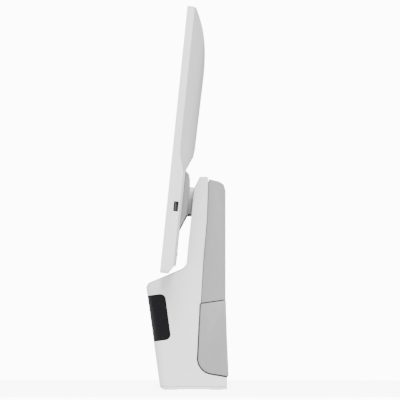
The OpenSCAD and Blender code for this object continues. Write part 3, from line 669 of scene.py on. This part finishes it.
# --- Screen -----------------------------------------------------------------
# The liquid-crystal panel, switched off: a low-gloss polariser over near-black
# glass, with a blacker masked border round the picture.
screen_glass, glass_tree, glass_skin, glass_place = blank_finish("screen_glass")
glass_low, glass_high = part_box("lcd_glass")
glass_spot = glass_tree.nodes.new("ShaderNodeSeparateXYZ")
glass_tree.links.new(glass_place, glass_spot.inputs["Vector"])
border_width = 0.0055


def beyond(socket, limit, operation="GREATER_THAN"):
    """1 where the value lies beyond the limit."""
    test = glass_tree.nodes.new("ShaderNodeMath")
    test.operation = operation
    test.inputs[1].default_value = limit
    glass_tree.links.new(socket, test.inputs[0])
    return test.outputs["Value"]


edges = [
    beyond(glass_spot.outputs["X"], glass_high.x - border_width),
    beyond(glass_spot.outputs["X"], glass_low.x + border_width, "LESS_THAN"),
    beyond(glass_spot.outputs["Z"], glass_high.z - border_width),
    beyond(glass_spot.outputs["Z"], glass_low.z + border_width, "LESS_THAN"),
]
border = edges[0]
for edge in edges[1:]:
    widest = glass_tree.nodes.new("ShaderNodeMath")
    widest.operation = "MAXIMUM"
    glass_tree.links.new(border, widest.inputs[0])
    glass_tree.links.new(edge, widest.inputs[1])
    border = widest.outputs["Value"]
glass_grain = placed_group(glass_tree, grain, glass_place, Grain_Scale=3000.0, Mottle_Scale=5.0)
panel_tone = mixed_colour(glass_tree, spread(glass_tree, glass_grain.outputs["Tone"], 0, 1),
                          (0.0125, 0.0135, 0.0155), (0.0165, 0.0175, 0.0195))
glass_tree.links.new(mixed_colour(glass_tree, border, panel_tone, (0.004, 0.004, 0.0045)),
                     glass_skin.inputs["Base Color"])
glass_tree.links.new(spread(glass_tree, glass_grain.outputs["Sheen"], 0.26, 0.34),
                     glass_skin.inputs["Roughness"])
glass_skin.inputs["Specular IOR Level"].default_value = 0.4
raised(glass_tree, glass_skin, glass_grain.outputs["Height"], 0.00001)
rounded_copy("lcd_glass", "display", screen_glass, 0.0003, 2)


# --- Display mouldings --------------------------------------------------------
# The bezel frames the picture and makes the display's sides; the back cover
# screws to it. The shroud hides the neck's root, over a black trim strip whose
# black is painted shade: it stands for the dark shade line under the hinge.
rounded_copy("front_bezel", "display", white_plastic, 0.0007, 3, merged_faces=False,
             rim=0.0085)
cover_grey = moulded("cover_grey", (0.52, 0.52, 0.52), 0.48)
rounded_copy("back_cover", "display", cover_grey, 0.0006, 2)
rounded_copy("hinge_shroud", "display", cover_grey, 0.0006, 2)
# Painted shade: the trim's near-black stands in for the shadow along the hinge's underside.
rounded_copy("shroud_trim", "display", dark_plastic, 0.0003, 2)


# --- Cover screws ---------------------------------------------------------------
# Four plated screws with low heads that hold the back cover to the bezel, each
# with a square drive.
tilted = next(joint for joint in frame["joints"] if joint["name"] == "power_press")
inward = Vector(tilted["axis"]).normalized()
lean = math.atan2(-inward.z, inward.y)
heads_low, heads_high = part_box("cover_screws")
head_radius = 0.0024
head_depth = 0.0006
cover_screw = recessed_screw("cover_screw", head_radius, head_depth, 0.0011, 4)
head_rise = head_radius * math.cos(lean)
head_back = head_radius * math.sin(lean)
cover_screws = copied(
    cover_screw, [(x, y, z) for x in (heads_low.x + head_radius, heads_high.x - head_radius)
                  for y, z in ((heads_low.y + head_back + head_depth * math.cos(lean),
                                heads_low.z + head_rise),
                               (heads_high.y - head_back,
                                heads_high.z - head_rise - head_depth * math.sin(lean)))],
    "cover_screws_turned", -math.radians(90) - lean)
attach(cover_screws, "display")
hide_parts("cover_screws")


# --- Keys ---------------------------------------------------------------------
# Five round keys in the chin, each a glossy moulding with a collar inside the
# bezel, a dished top and a raised mark that a fingertip can read: bar, ring,
# minus, plus and dot.
def glossy(name, colour, rough=0.24):
    finish, tree, skin, place = blank_finish(name)
    skin_grain = placed_group(tree, grain, place, Grain_Scale=700.0, Mottle_Scale=120.0)
    darker = tuple(channel * 0.86 for channel in colour)
    tree.links.new(mixed_colour(tree, spread(tree, skin_grain.outputs["Tone"], 0, 1), colour, darker),
                   skin.inputs["Base Color"])
    tree.links.new(spread(tree, skin_grain.outputs["Sheen"], rough - 0.05, rough + 0.08),
                   skin.inputs["Roughness"])
    raised(tree, skin, skin_grain.outputs["Height"], 0.00002)
    return finish


blue = glossy("button_blue", (0.035, 0.16, 0.42))
keys = {
    "power_button": ("button_red", glossy("button_red", (0.52, 0.045, 0.03)), "bar"),
    "mode_button": ("button_yellow", glossy("button_yellow", (0.8, 0.46, 0.03)), "ring"),
    "zoom_out_button": ("button_blue", blue, "minus"),
    "zoom_in_button": ("button_blue", blue, "plus"),
    "freeze_button": ("button_green", glossy("button_green", (0.07, 0.32, 0.12)), "dot"),
}
key_radius = 0.0065
collar_radius = 0.0078
collar_depth = 0.0012
cap_rise = 0.00285
stem_radius = 0.002
stem_reach = 0.00185
dish_steps = ((0.0009, 0), (0.0012, -0.0002), (0.0014, -0.00013), (0.0014, -0.00007))
dish_depth = -sum(drop for inset, drop in dish_steps)
mark_height = 0.0003


def bar_mark(angle):
    bpy.ops.object.select_all(action="DESELECT")
    bpy.ops.mesh.primitive_cube_add(
        size=1, location=(0, 0, -dish_depth + mark_height / 2), rotation=(0, 0, angle))
    mark = bpy.context.object
    mark.scale = (0.0056, 0.0011, mark_height)
    bpy.ops.object.transform_apply(location=True, rotation=True, scale=True)
    finished(mark, 0.0001)
    return mark


def round_mark(radius, hollow):
    mark = disc("mark", radius, mark_height, vertices=40)
    if hollow:
        pick_end(mark, up=True)
        step_in(radius * 0.32, 0)
        step_in(0.0001, -mark_height)
    finished(mark, 0.00008)
    return set_down(mark, (0, 0, -dish_depth + mark_height))


for node, (slot_name, finish, sign) in keys.items():
    key_low, key_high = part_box(node)
    key = disc(node + "_cap", collar_radius, collar_depth, vertices=72)
    bpy.ops.mesh.select_all(action="SELECT")
    bpy.ops.transform.translate(value=(0, 0, -cap_rise))
    pick_end(key, up=True)
    step_in(collar_radius - key_radius, 0)
    bpy.ops.mesh.extrude_region_move(TRANSFORM_OT_translate={"value": (0, 0, cap_rise)})
    for inset, drop in dish_steps:
        step_in(inset, drop)
    pick_end(key, up=False)
    step_in(collar_radius - stem_radius, 0)
    bpy.ops.mesh.extrude_region_move(TRANSFORM_OT_translate={"value": (0, 0, -stem_reach)})
    finished(key, 0.0003, 40)
    if sign == "ring":
        marks = [round_mark(0.0027, True)]
    elif sign == "dot":
        marks = [round_mark(0.0017, False)]
    else:
        marks = [bar_mark(math.radians(90) if sign == "bar" else 0)]
        if sign == "plus":
            marks.append(bar_mark(math.radians(90)))
    key = joined([key] + marks, node + "_cap")
    key.data.materials.clear()
    key.data.materials.append(finish)
    face_centre = ((key_low.x + key_high.x) / 2, key_low.y + key_radius * math.sin(lean),
                   key_high.z - collar_radius * math.cos(lean) + cap_rise * math.sin(lean))
    set_down(key, face_centre, math.radians(90) - lean)
    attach(key, node)
    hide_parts(node)
